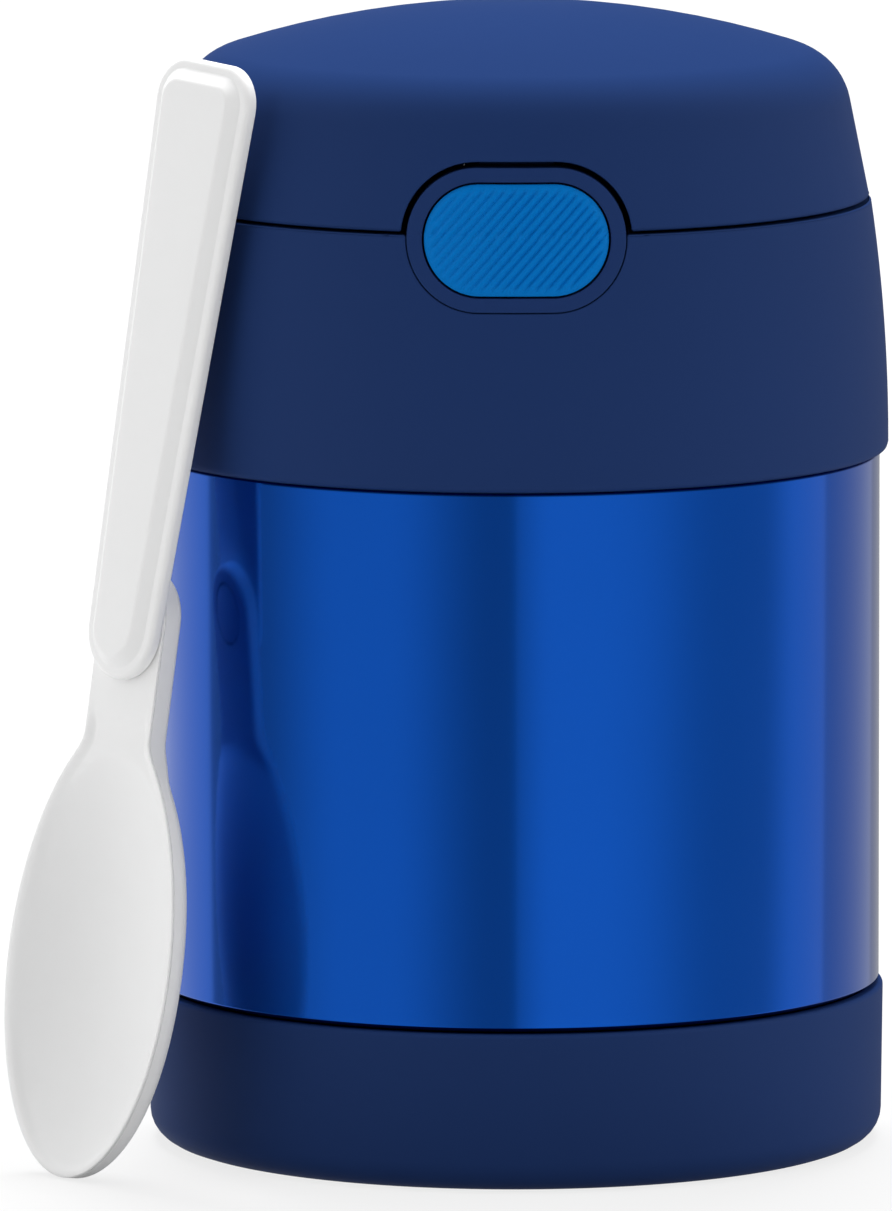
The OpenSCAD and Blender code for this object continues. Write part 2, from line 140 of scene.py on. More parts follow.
class Tree:
    """The nodes of one material or world."""

    def __init__(self, owner):
        owner.use_nodes = True
        self.tree = owner.node_tree
        self.tree.nodes.clear()

    def node(self, kind, settings=None, inputs=None, output=0):
        """A node of that kind, with its settings and then its sockets, and one of its outputs."""
        made = self.tree.nodes.new(kind)
        for name, value in (settings or {}).items():
            setattr(made, name, value)
        for name, value in (inputs or {}).items():
            if isinstance(value, Wire):
                self.tree.links.new(value.socket, made.inputs[name])
            else:
                made.inputs[name].default_value = value
        return Wire(self, made.outputs[output])

    def place(self):
        """A point's place in its piece's own frame."""
        return self.node("ShaderNodeTexCoord", output="Object")

    def height(self):
        """Height over the floor in millimetres."""
        return self.node("ShaderNodeSeparateXYZ", {}, {"Vector": self.place()}, output="Z") / MM

    def noise(self, scale, detail, stretch=(1, 1, 1)):
        """Noise with that many cells in a metre, from 0 to 1."""
        spread = self.node("ShaderNodeMapping", {}, {"Vector": self.place(), "Scale": stretch})
        values = {"Vector": spread, "Scale": scale, "Detail": detail}
        return self.node("ShaderNodeTexNoise", {}, values)

    def blend(self, share, first, second):
        """A colour between two others."""
        settings = {"data_type": "RGBA"}
        first, second = (c if isinstance(c, Wire) else (*c, 1) for c in (first, second))
        inputs = {"Factor": share, 6: first, 7: second}
        return self.node("ShaderNodeMix", settings, inputs, output=2)

    def bump(self, height, depth):
        """A bump of that depth in millimetres, where height goes from 0 to 1."""
        values = {"Height": height, "Distance": depth * MM, "Strength": 1.0}
        return self.node("ShaderNodeBump", {}, values)

    def finish(self, **sockets):
        """Ends a material's tree in one shader; _ stands for the space in a socket's name."""
        inputs = {name.replace("_", " "): value for name, value in sockets.items()}
        shader = self.node("ShaderNodeBsdfPrincipled", {}, inputs)
        self.node_output(shader)

    def node_output(self, shader, kind="ShaderNodeOutputMaterial"):
        """Joins a shader to the tree's output."""
        made = self.tree.nodes.new(kind)
        self.tree.links.new(shader.socket, made.inputs["Surface"])


def material(name):
    """A new material and its empty tree."""
    made = bpy.data.materials.new(name)
    return made, Tree(made)


# Materials -----------------------------------------------------------------------------------

# Each pair holds the darker and the lighter colour that a pattern goes between.
BARE_STEEL = ((0.60, 0.60, 0.61), (0.72, 0.72, 0.73))
BLUE_LACQUER = ((0.001, 0.076, 0.44), (0.001, 0.082, 0.48))
WIRE_STEEL = ((0.45, 0.45, 0.46), (0.58, 0.58, 0.59))
FOAM_BEIGE = ((0.62, 0.55, 0.40), (0.78, 0.70, 0.53))
BRAZE_GREY = ((0.16, 0.15, 0.14), (0.34, 0.33, 0.31))
# The lacquer ends between these two heights.
LACQUER_END = (86.6, 86.9)
COAT = 0.13
NAVY_SHADE = 0.94
NAVY_GLOSS = 0.06
PALE_SHADE = 0.97
PALE_GRAIN = 0.006


def steel_lines(tree):
    """Fine turning lines round the axis."""
    return tree.noise(scale=60, detail=4, stretch=(1, 1, 60))


def steel_roughness(lines):
    return 0.2 + 0.12 * lines


def lacquered_steel():
    """Clear blue lacquer over polished steel, which is left bare at the neck inside the lid."""
    made, tree = material("blue_lacquered_steel")
    grain = tree.noise(scale=90, detail=3, stretch=(1, 1, 30))
    cloud = tree.noise(scale=40, detail=2)
    lines = steel_lines(tree)
    lacquer = 1.0 - tree.height().step(*LACQUER_END)
    blue = tree.blend(cloud, *BLUE_LACQUER)
    bare = tree.blend(lines, *BARE_STEEL)
    tree.finish(
        Base_Color=tree.blend(lacquer, bare, blue),
        Metallic=1.0,
        Roughness=steel_roughness(lines) * (1.0 - lacquer) + (0.10 + 0.03 * grain) * lacquer,
        Coat_Weight=COAT * lacquer,
        Coat_Roughness=0.02,
        Coat_IOR=1.5,
    )
    return made


def polished_steel():
    """Bare stainless steel, with fine turning lines round the axis."""
    made, tree = material("turned_stainless_steel")
    lines = steel_lines(tree)
    tree.finish(
        Base_Color=tree.blend(lines, *BARE_STEEL),
        Metallic=1.0,
        Roughness=steel_roughness(lines),
        Normal=tree.bump(lines, 0.004),
    )
    return made


def satin_navy(name, colour, roughness, grain_depth):
    """Navy moulded plastic or rubber with a fine spark-eroded grain."""
    made, tree = material(name)
    grain = tree.noise(scale=5200, detail=2)
    cloud = tree.noise(scale=35, detail=3)
    darker = tuple(NAVY_SHADE * c for c in colour)
    tree.finish(
        Base_Color=tree.blend(cloud, darker, colour),
        Roughness=roughness + 0.06 * cloud,
        Specular_IOR_Level=NAVY_GLOSS,
        Normal=tree.bump(grain, grain_depth),
    )
    return made


def moulded(name, colour, roughness, gloss=0.1):
    """Pale moulded plastic with a faint flow pattern and a fine grain."""
    made, tree = material(name)
    grain = tree.noise(scale=4200, detail=2)
    flow = tree.noise(scale=55, detail=3, stretch=(1, 1, 0.4))
    darker = tuple(PALE_SHADE * c for c in colour)
    tree.finish(
        Base_Color=tree.blend(flow, darker, colour),
        Roughness=roughness + 0.05 * flow,
        Specular_IOR_Level=gloss,
        Normal=tree.bump(grain, PALE_GRAIN),
    )
    return made


def drawn_wire():
    """Steel of the hinge's pin and of both springs."""
    made, tree = material("drawn_wire_steel")
    lines = tree.noise(scale=900, detail=2)
    tree.finish(
        Base_Color=tree.blend(lines, *WIRE_STEEL),
        Metallic=1.0,
        Roughness=0.26 + 0.1 * lines,
    )
    return made


def closed_cell_foam():
    """Beige foam with small cells."""
    made, tree = material("closed_cell_foam")
    cells = tree.node("ShaderNodeTexVoronoi", {}, {"Vector": tree.place(), "Scale": 900.0})
    tree.finish(
        Base_Color=tree.blend(cells, *FOAM_BEIGE),
        Roughness=0.9,
        Normal=tree.bump(cells, 0.3),
    )
    return made


def braze_metal():
    """Dull, gritty braze."""
    made, tree = material("braze_metal")
    grit = tree.noise(scale=1500, detail=4)
    tree.finish(
        Base_Color=tree.blend(grit, *BRAZE_GREY),
        Metallic=1.0,
        Roughness=0.5 + 0.2 * grit,
        Normal=tree.bump(grit, 0.05),
    )
    return made


NAVY = (0.0121, 0.0348, 0.131)
BLUE_STEEL = lacquered_steel()
STEEL = polished_steel()
LID_NAVY = satin_navy("satin_navy_plastic", NAVY, roughness=0.6, grain_depth=0.006)
BASE_NAVY = satin_navy("soft_navy_rubber", NAVY, roughness=0.6, grain_depth=0.008)
LINER_GREY = moulded("pale_grey_plastic", (0.50, 0.52, 0.54), roughness=0.42)
SPOON_WHITE = moulded("white_spoon_plastic", (0.88, 0.88, 0.88), roughness=0.38)
BUTTON_BLUE = moulded("bright_blue_plastic", (0.0004, 0.168, 0.545), roughness=0.4, gloss=0.04)
SEAL_WHITE = moulded("milky_silicone", (0.72, 0.73, 0.74), roughness=0.45)
WIRE = drawn_wire()
FOAM = closed_cell_foam()
BRAZE = braze_metal()

NODE_FINISH = {
    "outer_shell": BLUE_STEEL, "inner_vessel": STEEL, "outer_bottom": STEEL, "vacuum_seal": BRAZE,
    "base_cup": BASE_NAVY, "lip_seal": SEAL_WHITE, "lid_collar": LID_NAVY, "lid_body": LINER_GREY,
    "plug_foam": FOAM, "plug_cap": STEEL, "spoon_well": LID_NAVY, "button_bezel": LID_NAVY,
    "hinge_pin": WIRE, "hinge_spring": WIRE, "button_spring": WIRE, "cover_shell": LID_NAVY,
    "cover_liner": LID_NAVY, "cover_catch": LID_NAVY, "push_button": BUTTON_BLUE,
    "latch_slide": LINER_GREY, "spoon_bowl": SPOON_WHITE, "spoon_handle": SPOON_WHITE,
    "spoon_pivot_cap": SPOON_WHITE,
}
for name, finish in NODE_FINISH.items():
    nodes[name].data.materials.clear()
    nodes[name].data.materials.append(finish)


# Modelling -----------------------------------------------------------------------------------

WELD = 0.001 * MM
SHARP = math.radians(32)
TURN_STEPS = 192
FILLET_STEP = math.radians(14)
# Faces that meet at less than this become one face.
FLAT = math.radians(0.3)
ROUND_STEPS = 3
WIRE_SIDES = 12
COIL_STEPS = 40


def select_only(made):
    bpy.ops.object.select_all(action="DESELECT")
    made.select_set(True)
    bpy.context.view_layer.objects.active = made


def weld(made):
    """Joins doubled points and turns every face outwards."""
    select_only(made)
    bpy.ops.object.mode_set(mode="EDIT")
    bpy.ops.mesh.select_all(action="SELECT")
    bpy.ops.mesh.remove_doubles(threshold=WELD)
    bpy.ops.mesh.normals_make_consistent(inside=False)
    bpy.ops.object.mode_set(mode="OBJECT")


def modify(made, kind, **settings):
    """Gives a piece a modifier with those settings and applies it."""
    select_only(made)
    step = made.modifiers.new(kind.lower(), kind)
    for name, value in settings.items():
        setattr(step, name, value)
    bpy.ops.object.modifier_apply(modifier=step.name)


def round_edges(made, width):
    """Rounds a piece's sharp edges."""
    modify(made, "BEVEL", width=width * MM, segments=ROUND_STEPS, limit_method="ANGLE",
           angle_limit=SHARP, use_clamp_overlap=False, miter_outer="MITER_ARC")


def combine(made, tool, operation):
    """Cuts, joins or trims a piece with a second one, which is used up."""
    modify(made, "BOOLEAN", object=tool, operation=operation, solver="EXACT")
    bpy.data.objects.remove(tool)


def set_down(made, place):
    """Moves a finished mesh to its place and leaves its object at the origin."""
    select_only(made)
    made.matrix_world = place
    bpy.ops.object.transform_apply(location=True, rotation=True, scale=True)


def rounded(corners):
    """Points through corners of (across, up, fillet radius), with each corner rounded."""
    points = []
    for i, (across, up, fillet) in enumerate(corners):
        here = Vector((across, up))
        if not fillet:
            points.append(here)
            continue
        before = (Vector(corners[i - 1][:2]) - here).normalized()
        after = (Vector(corners[(i + 1) % len(corners)][:2]) - here).normalized()
        half = before.angle(after) / 2
        centre = here + (before + after).normalized() * fillet / math.sin(half)
        start = here + before * fillet / math.tan(half) - centre
        end = here + after * fillet / math.tan(half) - centre
        sweep = start.angle_signed(end)
        count = max(2, math.ceil(abs(sweep) / FILLET_STEP))
        for k in range(count + 1):
            points.append(centre + Matrix.Rotation(-sweep * k / count, 2) @ start)
    return points


def turned(name, profile):
    """A piece turned about the jar's axis from a profile of (radius, height) points."""
    bpy.ops.object.select_all(action="DESELECT")
    bpy.ops.mesh.primitive_plane_add(size=MM)
    made = bpy.context.object
    made.name = name
    bpy.context.tool_settings.mesh_select_mode = (True, False, False)
    bpy.ops.object.mode_set(mode="EDIT")
    bpy.ops.mesh.merge(type="CENTER")
    bpy.ops.transform.translate(value=(profile[0].x * MM, 0, profile[0].y * MM))
    ring = [] if profile[0].x == 0 else profile[:1]
    for before, after in zip(profile, profile[1:] + ring):
        step = (after - before) * MM
        bpy.ops.mesh.extrude_vertices_move(TRANSFORM_OT_translate={"value": (step.x, 0, step.y)})
    bpy.ops.mesh.select_all(action="SELECT")
    bpy.ops.mesh.remove_doubles(threshold=WELD)
    bpy.ops.mesh.select_all(action="SELECT")
    bpy.ops.mesh.spin(steps=TURN_STEPS, angle=2 * math.pi, center=(0, 0, 0), axis=(0, 0, 1))
    bpy.ops.object.mode_set(mode="OBJECT")
    weld(made)
    return made


def mapped(name, across, along, place):
    """A sheet of faces whose points are put down by place, for u and v from 0 to 1."""
    bpy.ops.object.select_all(action="DESELECT")
    bpy.ops.mesh.primitive_grid_add(x_subdivisions=across, y_subdivisions=along, size=1)
    made = bpy.context.object
    made.name = name
    for point in made.data.vertices:
        point.co = Vector(place(point.co.x + 0.5, point.co.y + 0.5)) * MM
    weld(made)
    return made


def stepped(name, outline, levels):
    """A plate facing -Y: its XZ outline raised through levels of (inset, height) from the back."""
    bpy.ops.object.select_all(action="DESELECT")
    bpy.ops.mesh.primitive_circle_add(vertices=len(outline), fill_type="NGON")
    made = bpy.context.object
    made.name = name
    for point, (x, z) in zip(made.data.vertices, outline):
        point.co = Vector((x, 0, z)) * MM
    weld(made)
    faces_back = made.data.polygons[0].normal.y > 0
    bpy.context.tool_settings.mesh_select_mode = (False, False, True)
    bpy.ops.object.mode_set(mode="EDIT")
    bpy.ops.mesh.select_all(action="SELECT")
    if faces_back:
        bpy.ops.mesh.flip_normals()
    for before, after in zip(levels, levels[1:]):
        inset, rise = (after - before) * MM
        if inset < WELD:
            bpy.ops.mesh.extrude_region_move(TRANSFORM_OT_translate={"value": (0, -rise, 0)})
        else:
            bpy.ops.mesh.inset(thickness=inset, depth=rise)
    bpy.ops.object.mode_set(mode="OBJECT")
    weld(made)
    return made


def rod(name, radius, start, end, vertices=64):
    """A round rod from start to end, in millimetres."""
    start, end = Vector(start) * MM, Vector(end) * MM
    length = (end - start).length
    bpy.ops.object.select_all(action="DESELECT")
    bpy.ops.mesh.primitive_cylinder_add(vertices=vertices, radius=radius * MM, depth=length)
    made = bpy.context.object
    made.name = name
    turn = (end - start).to_track_quat("Z", "Y").to_matrix().to_4x4()
    set_down(made, Matrix.Translation((start + end) / 2) @ turn)
    return made


def coil(name, radius, wire, length, turns):
    """Round wire wound about +Z from the origin, with flat ends."""
    bpy.ops.object.select_all(action="DESELECT")
    bpy.ops.mesh.primitive_circle_add(
        vertices=WIRE_SIDES, radius=wire / 2 * MM, rotation=(math.pi / 2, 0, 0),
        location=(radius * MM, 0, wire / 2 * MM))
    made = bpy.context.object
    made.name = name
    bpy.ops.object.transform_apply(location=True, rotation=True, scale=True)
    modify(made, "SCREW", axis="Z", angle=2 * math.pi, screw_offset=(length - wire) / turns * MM,
           iterations=turns, steps=COIL_STEPS, render_steps=COIL_STEPS)
    select_only(made)
    bpy.ops.object.mode_set(mode="EDIT")
    bpy.ops.mesh.select_all(action="SELECT")
    bpy.ops.mesh.remove_doubles(threshold=WELD)
    bpy.ops.mesh.fill_holes(sides=0)
    bpy.ops.object.mode_set(mode="OBJECT")
    weld(made)
    return made


def dress(made, finish):
    """Smooths the shading between a piece's sharp edges, and gives it its material."""
    select_only(made)
    bpy.ops.object.shade_smooth_by_angle(angle=SHARP)
    made.data.materials.clear()
    made.data.materials.append(finish)


def finish_piece(made, body, slot, finish, *stands_for):
    """Dresses a piece, joins it to its body and hides the solids that it stands for; slot is not
    used.
    """
    dress(made, finish)
    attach(made, body)
    if stands_for:
        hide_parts(*stands_for)


# A seam is opened from this radius outwards.
WALL_R = 39.5
ON_SEAM = 0.02
SEAM_STEPS = 4


def open_seam(made, seam_z, outside_r, width, shift):
    """Rounds a wall's outer edge along a seam, and moves it away from the seam a little."""
    points = made.data.vertices
    for edge in made.data.edges:
        ends = [points[k].co / MM for k in edge.vertices]
        on_seam = all(abs(end.z - seam_z) < ON_SEAM for end in ends)
        edge.select = on_seam and all(math.hypot(end.x, end.y) > outside_r for end in ends)
    bpy.context.tool_settings.mesh_select_mode = (False, True, False)
    bpy.ops.object.mode_set(mode="EDIT")
    bpy.ops.mesh.bevel(offset=width * MM, segments=SEAM_STEPS, clamp_overlap=False)
    bpy.ops.object.mode_set(mode="OBJECT")
    middle, half = seam_z + shift / 2, abs(shift) / 2 + ON_SEAM
    for point in points:
        spot = point.co / MM
        if abs(spot.z - middle) < half and math.hypot(spot.x, spot.y) > WALL_R:
            point.co.z = (seam_z + shift) * MM


def softened(node, width, body, slot, added=(), seam=None):
    """A solid's own form with its edges rounded, and then with what is added to it."""
    made = nodes[node].copy()
    made.data = nodes[node].data.copy()
    made.parent = None
    bpy.context.scene.collection.objects.link(made)
    made.name = node + "_moulding"
    weld(made)
    bpy.ops.object.mode_set(mode="EDIT")
    bpy.ops.mesh.select_all(action="SELECT")
    bpy.ops.mesh.dissolve_limited(angle_limit=FLAT)
    bpy.ops.mesh.select_all(action="DESELECT")
    bpy.ops.object.mode_set(mode="OBJECT")
    if seam:
        open_seam(made, **seam)
    round_edges(made, width)
    for piece in added:
        combine(made, piece, "UNION")
    finish_piece(made, body, slot, NODE_FINISH[node], node)
    modify(made, "WEIGHTED_NORMAL", keep_sharp=True)


# Jar -----------------------------------------------------------------------------------------

BASE_T = 3
FOOT_R = 42.2
SWAGE_H = 0.7
SHOULDER_Z = 88.4
SHELL_T = 0.6
VESSEL_R = 37
VESSEL_T = 0.5
MOUTH_R = 34.8
FOOD_Z = 12.5
THROAT = (80, 84.5)
EDGE = 0.3
SEAM = 0.1
SHOULDER_IN = 0.9
CUP_GAP = 0.1
CUP_DRAFT = 0.25
# The groove under the foot: its two radii and its depth.
GROOVE_R = (31, 33)
GROOVE_H = 0.8


def make_jar():
    """The lacquered body, the food vessel and the base cup."""
    inner_r = BODY_R - SHELL_T
    finish_piece(turned("blue_body", rounded([
        (FOOT_R, BASE_T, 0), (FOOT_R, BASE_H, 0.3), (BODY_R, BASE_H + SWAGE_H, 0.4),
        (BODY_R, COLLAR_Z - SEAM, 0.4), (BODY_R - SHOULDER_IN, COLLAR_Z - SEAM, 0),
        (NECK_R, SHOULDER_Z, 1.5), (NECK_R, LIP_Z - SHELL_T, 0),
        (NECK_R - SHELL_T, LIP_Z - SHELL_T, 0), (NECK_R - SHELL_T, SHOULDER_Z - EDGE, 0.9),
        (inner_r, BODY_TOP - EDGE, 0.6), (inner_r, BASE_H + SWAGE_H + EDGE, 0.2),
        (FOOT_R - SHELL_T, BASE_H + EDGE, 0.2), (FOOT_R - SHELL_T, BASE_T, 0),
    ])), "jar", "blue_steel", BLUE_STEEL, "outer_shell")
    low_z = FOOD_Z - VESSEL_T
    neck_in = MOUTH_R + VESSEL_T
    finish_piece(turned("steel_vessel", rounded([
        (0, low_z, 0), (VESSEL_R + VESSEL_T, low_z, 6.5), (VESSEL_R + VESSEL_T, THROAT[0], 2),
        (neck_in, THROAT[1], 2), (neck_in, LIP_Z - SHELL_T, 0), (NECK_R, LIP_Z - SHELL_T, 0.05),
        (NECK_R, LIP_Z, 0.4), (MOUTH_R, LIP_Z, 0.3), (MOUTH_R, THROAT[1], 2),
        (VESSEL_R, THROAT[0], 2), (VESSEL_R, FOOD_Z, 6), (0, FOOD_Z, 0),
    ])), "jar", "steel", STEEL, "inner_vessel")
    cup_in = FOOT_R + CUP_GAP
    finish_piece(turned("base_boot", rounded([
        (0, 0, 0), (GROOVE_R[0], 0, 0.25), (GROOVE_R[0], GROOVE_H, 0.25),
        (GROOVE_R[1], GROOVE_H, 0.25), (GROOVE_R[1], 0, 0.4),
        (BASE_R - CUP_DRAFT, 0, 3.6), (BASE_R, BASE_H, 0.5), (cup_in, BASE_H, 0.25),
        (cup_in, BASE_T, 0.6), (0, BASE_T, 0),
    ])), "jar", "soft_navy", BASE_NAVY, "base_cup")


# The screw thread has three starts, each a rounded ridge that dies away at its two ends.
STARTS = 3
LEAD = 10
RIDGE_H = 1.1
RIDGE_W = 1.2
RIDGE_SINK = 0.3
RIDGE_FADE = 8
RIDGE_CELLS = (90, 14)
# Where a ridge begins, and how far it goes round in degrees.
NECK_RIDGE = (90.2, 150)
LID_RIDGE = (91.87, 110)


def make_thread(name, wall_r, inward, first_z, turn, body, slot, finish):
    """The ridges of one thread, which stand out from a wall or, if inward, into it."""
    side = -1 if inward else 1
    for start in range(STARTS):
        def place(u, v):
            fade = min(1, RIDGE_FADE * u, RIDGE_FADE * (1 - u))
            reach = (RIDGE_H + RIDGE_SINK) / 2 * math.sin(fade * math.pi / 2)
            around = 2 * math.pi * v
            radius = wall_r + side * (reach - RIDGE_SINK + reach * math.cos(around))
            angle = math.radians(360 * start / STARTS + turn * u)
            height = first_z + LEAD * turn * u / 360 + RIDGE_W / 2 * math.sin(around)
            return radius * math.cos(angle), radius * math.sin(angle), height

        ridge = mapped(f"{name}_{start + 1}", *RIDGE_CELLS, place)
        finish_piece(ridge, body, slot, finish)


# Lid -----------------------------------------------------------------------------------------

SEAL_T = 1.6
PLUG_R = 34
PLUG_Z = LIP_Z - 9.7
PLUG_T = 1
THREAD_R = 38.2
SEAL_IN = 0.5
SEAL_OUT = 0.1
# The raised middle of two plates: its height, and the radii between which its edge slopes.
PANEL_H = 0.4
PLUG_PANEL = (26, 27)
LINER_PANEL = (30, 31.5)


def make_lid_inside():
    """The lip's seal, the plug's steel plate and the cover's lining."""
    finish_piece(turned("lip_ring", rounded([
        (PLUG_R + SEAL_IN, LIP_Z, 0.35), (NECK_R - SEAL_OUT, LIP_Z, 0.35),
        (NECK_R - SEAL_OUT, LIP_Z + SEAL_T, 0.35), (PLUG_R + SEAL_IN, LIP_Z + SEAL_T, 0.35),
    ])), "seal", "seal_rubber", SEAL_WHITE, "lip_seal")
    finish_piece(turned("plug_plate", rounded([
        (0, PLUG_Z + PANEL_H, 0), (PLUG_PANEL[0], PLUG_Z + PANEL_H, 0.5),
        (PLUG_PANEL[1], PLUG_Z, 0.5), (PLUG_R, PLUG_Z, 0.45),
        (PLUG_R, PLUG_Z + PLUG_T, 0.15), (0, PLUG_Z + PLUG_T, 0),
    ])), "lid", "steel", STEEL, "plug_cap")
    liner_low, liner_high = low("cover_liner", Z), high("cover_liner", Z)
    liner_r = high("cover_liner", X)
    finish_piece(turned("cover_lining", rounded([
        (0, liner_low + PANEL_H, 0), (LINER_PANEL[0], liner_low + PANEL_H, 0.6),
        (LINER_PANEL[1], liner_low, 0.6), (liner_r, liner_low, 0.5),
        (liner_r, liner_high, 0.2), (0, liner_high, 0),
    ])), "cover", "navy_plastic", LID_NAVY, "cover_liner")


HINGE_Y = 39.6
HINGE_Z = 114.6
EAR_IN = 6.3
BOSS_R = 2.6
BOSS_T = 0.27
BOSS_SINK = 0.5
SPLASH_Y = 33.8
SPLASH_SIZE = (19, 0.9, 1.4)
AXLE_R = 1
SPRING_WIRE = 0.5
SPRING_TURNS = 6
HINGE_COIL_R = 1.6


def ear_bosses():
    """Thrust faces on the ears, which keep the cover's knuckles in the middle."""
    bosses = []
    for side in (-1, 1):
        face = side * (EAR_IN - BOSS_T)
        root = side * (EAR_IN + BOSS_SINK)
        bosses.append(rod("ear_boss", BOSS_R, (face, HINGE_Y, HINGE_Z), (root, HINGE_Y, HINGE_Z)))
    return bosses


def splash_rib():
    """A rib on the well's back wall, which keeps drips and daylight out of the hinge."""
    top = high("spoon_well", Z)
    bpy.ops.object.select_all(action="DESELECT")
    bpy.ops.mesh.primitive_cube_add(size=1)
    made = bpy.context.object
    made.name = "splash_rib"
    size = Matrix.Diagonal([length * MM for length in SPLASH_SIZE] + [1])
    set_down(made, Matrix.Translation(Vector((0, SPLASH_Y, top)) * MM) @ size)
    round_edges(made, 0.15)
    return made


def make_hinge():
    """The axle of the cover's hinge and the torsion spring on it."""
    y, z = HINGE_Y, HINGE_Z
    half = high("hinge_pin", X)
    pin = rod("hinge_axle", AXLE_R, (-half, y, z), (half, y, z))
    round_edges(pin, 0.2)
    finish_piece(pin, "lid", "pin_steel", WIRE, "hinge_pin")
    wire, span = SPRING_WIRE, high("hinge_spring", X)
    spring = coil("hinge_coil", HINGE_COIL_R, wire, 2 * span, SPRING_TURNS)
    end = Matrix.Translation(Vector((-span, y, z)) * MM)
    set_down(spring, end @ Matrix.Rotation(math.pi / 2, 4, "Y"))
    leg_x, leg_y = -span + wire / 2, y - HINGE_COIL_R
    leg_end = (leg_x, leg_y, low("hinge_spring", Z))
    leg = rod("hinge_leg", wire / 2, leg_end, (leg_x, leg_y, z), WIRE_SIDES)
    combine(spring, leg, "UNION")
    dress(spring, WIRE)
    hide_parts("hinge_spring")
    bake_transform(spring)


def make_button_coil():
    """The button's return spring."""
    front, back = low("button_spring", Y), high("button_spring", Y)
    wire = SPRING_WIRE
    radius = high("button_spring", X) - wire / 2
    spring = coil("button_coil", radius, wire, back - front, SPRING_TURNS)
    centre_z = (low("button_spring", Z) + high("button_spring", Z)) / 2
    end = Matrix.Translation(Vector((0, back, centre_z)) * MM)
    set_down(spring, end @ Matrix.Rotation(math.pi / 2, 4, "X"))
    finish_piece(spring, "lid", "pin_steel", WIRE, "button_spring")
    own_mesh(spring)


# Button --------------------------------------------------------------------------------------

BUTTON_Z = 112.5
BUTTON_W = 21.6
BUTTON_H = 12.9
BUTTON_BACK = -38.5
BUTTON_FRONT = -50
RIB_ANGLE = math.radians(48)
RIB_PITCH = 0.94
RIB_DEPTH = 0.31
RIB_CELLS = 8
# The ribs rise over this distance from the button's edge, and are fainter to the left.
RIB_RISE = (0.3, 1.1)
RIB_FAINT = 0.6
RIB_FULL_X = (-11, 2)
# The cap's own edge is a little lower than its middle.
RIM_DROP = 0.3
RIM_IN = 0.7
RIM_SPREAD = 0.9
BOW_X = 15
CAP_COLUMNS = 60
CAP_REACH = 12
BELLY_Z = COLLAR_Z + 1
BELLY_H = PART_Z - BELLY_Z
BELLY_DROP = COLLAR_R - RIM_R
BELLY_R = (BELLY_H ** 2 + BELLY_DROP ** 2) / (2 * BELLY_DROP)
COVER_GAP = 0.2
COVER_R = RIM_R - COVER_GAP
COVER_Z = PART_Z + COVER_GAP
COVER_LEAN = math.radians(11.3)
QUARTER_STEPS = 24


def lid_radius(z):
    """The closed lid's radius at a height, up to the cover's shoulder."""
    if z > PART_Z:
        return COVER_R - (z - PART_Z) * math.tan(COVER_LEAN)
    return COLLAR_R - BELLY_R + math.sqrt(BELLY_R ** 2 - max(0, z - BELLY_Z) ** 2)


def stadium_edge(x, z, w, h):
    """How far a point lies inside a stadium of that width and height."""
    reach = max(0, abs(x) - (w - h) / 2)
    return h / 2 - math.hypot(reach, z)


def smooth_share(value, start, end):
    """0 before start and 1 after end, with a smooth way between."""
    share = min(1, max(0, (value - start) / (end - start)))
    return share * share * (3 - 2 * share)


def stadium_prism(name, w, h, front, back):
    """A bar along Y with a stadium for its outline, at the button's height."""
    quarter = [math.radians(90 * k / QUARTER_STEPS) for k in range(QUARTER_STEPS + 1)]
    shift = (w - h) / 2
    right = [(shift + h / 2 * math.cos(a), h / 2 * math.sin(a)) for a in quarter]
    points = right + [(-x, z) for x, z in reversed(right)]
    points += [(-x, -z) for x, z in right[1:]] + [(x, -z) for x, z in reversed(right[1:])]
    made = stepped(name, points, [Vector((0, 0)), Vector((0, back - front))])
    set_down(made, Matrix.Translation(Vector((0, back, BUTTON_Z)) * MM))
    return made


def make_button():
    """The button's ribbed cap, which follows the curve of the lid."""
    reach = (BUTTON_W + BUTTON_H) / 2
    ribs = 2 * reach / RIB_PITCH

    def place(u, v):
        along, across = (u - 0.5) * 2 * reach, (v - 0.5) * 2 * reach
        x = along * math.cos(RIB_ANGLE) - across * math.sin(RIB_ANGLE)
        z = along * math.sin(RIB_ANGLE) + across * math.cos(RIB_ANGLE)
        inside = stadium_edge(x, z, BUTTON_W, BUTTON_H)
        full = smooth_share(x, *RIB_FULL_X)
        fade = smooth_share(inside, *RIB_RISE) * (RIB_FAINT + (1 - RIB_FAINT) * full)
        groove = RIB_DEPTH * fade * (0.5 - 0.5 * math.cos(2 * math.pi * v * ribs)) ** 2
        edge = RIM_DROP * smooth_share(RIM_IN - inside, 0, RIM_SPREAD)
        radius = lid_radius(BUTTON_Z + max(-BUTTON_H, min(BUTTON_H, z))) - groove - edge
        bow = min(abs(x), BOW_X)
        return x, -math.sqrt(radius ** 2 - bow ** 2), BUTTON_Z + z

    face = mapped("button_cap", CAP_COLUMNS, round(ribs * RIB_CELLS), place)
    select_only(face)
    bpy.ops.object.mode_set(mode="EDIT")
    bpy.ops.mesh.select_all(action="SELECT")
    bpy.ops.mesh.extrude_region_move(TRANSFORM_OT_translate={"value": (0, CAP_REACH * MM, 0)})
    bpy.ops.object.mode_set(mode="OBJECT")
    weld(face)
    outline = stadium_prism("button_outline", BUTTON_W, BUTTON_H, BUTTON_FRONT, BUTTON_BACK)
    combine(face, outline, "INTERSECT")
    weld(face)
    finish_piece(face, "button", "button_plastic", BUTTON_BLUE, "push_button")


# Spoon ---------------------------------------------------------------------------------------

# The spoon's own frame has its pivot at the origin, its face to -Y and its bowl down -Z.
SPOON_OUT = 9.53
SPOON_ASIDE = -8.72
PIVOT_Z = 66.15
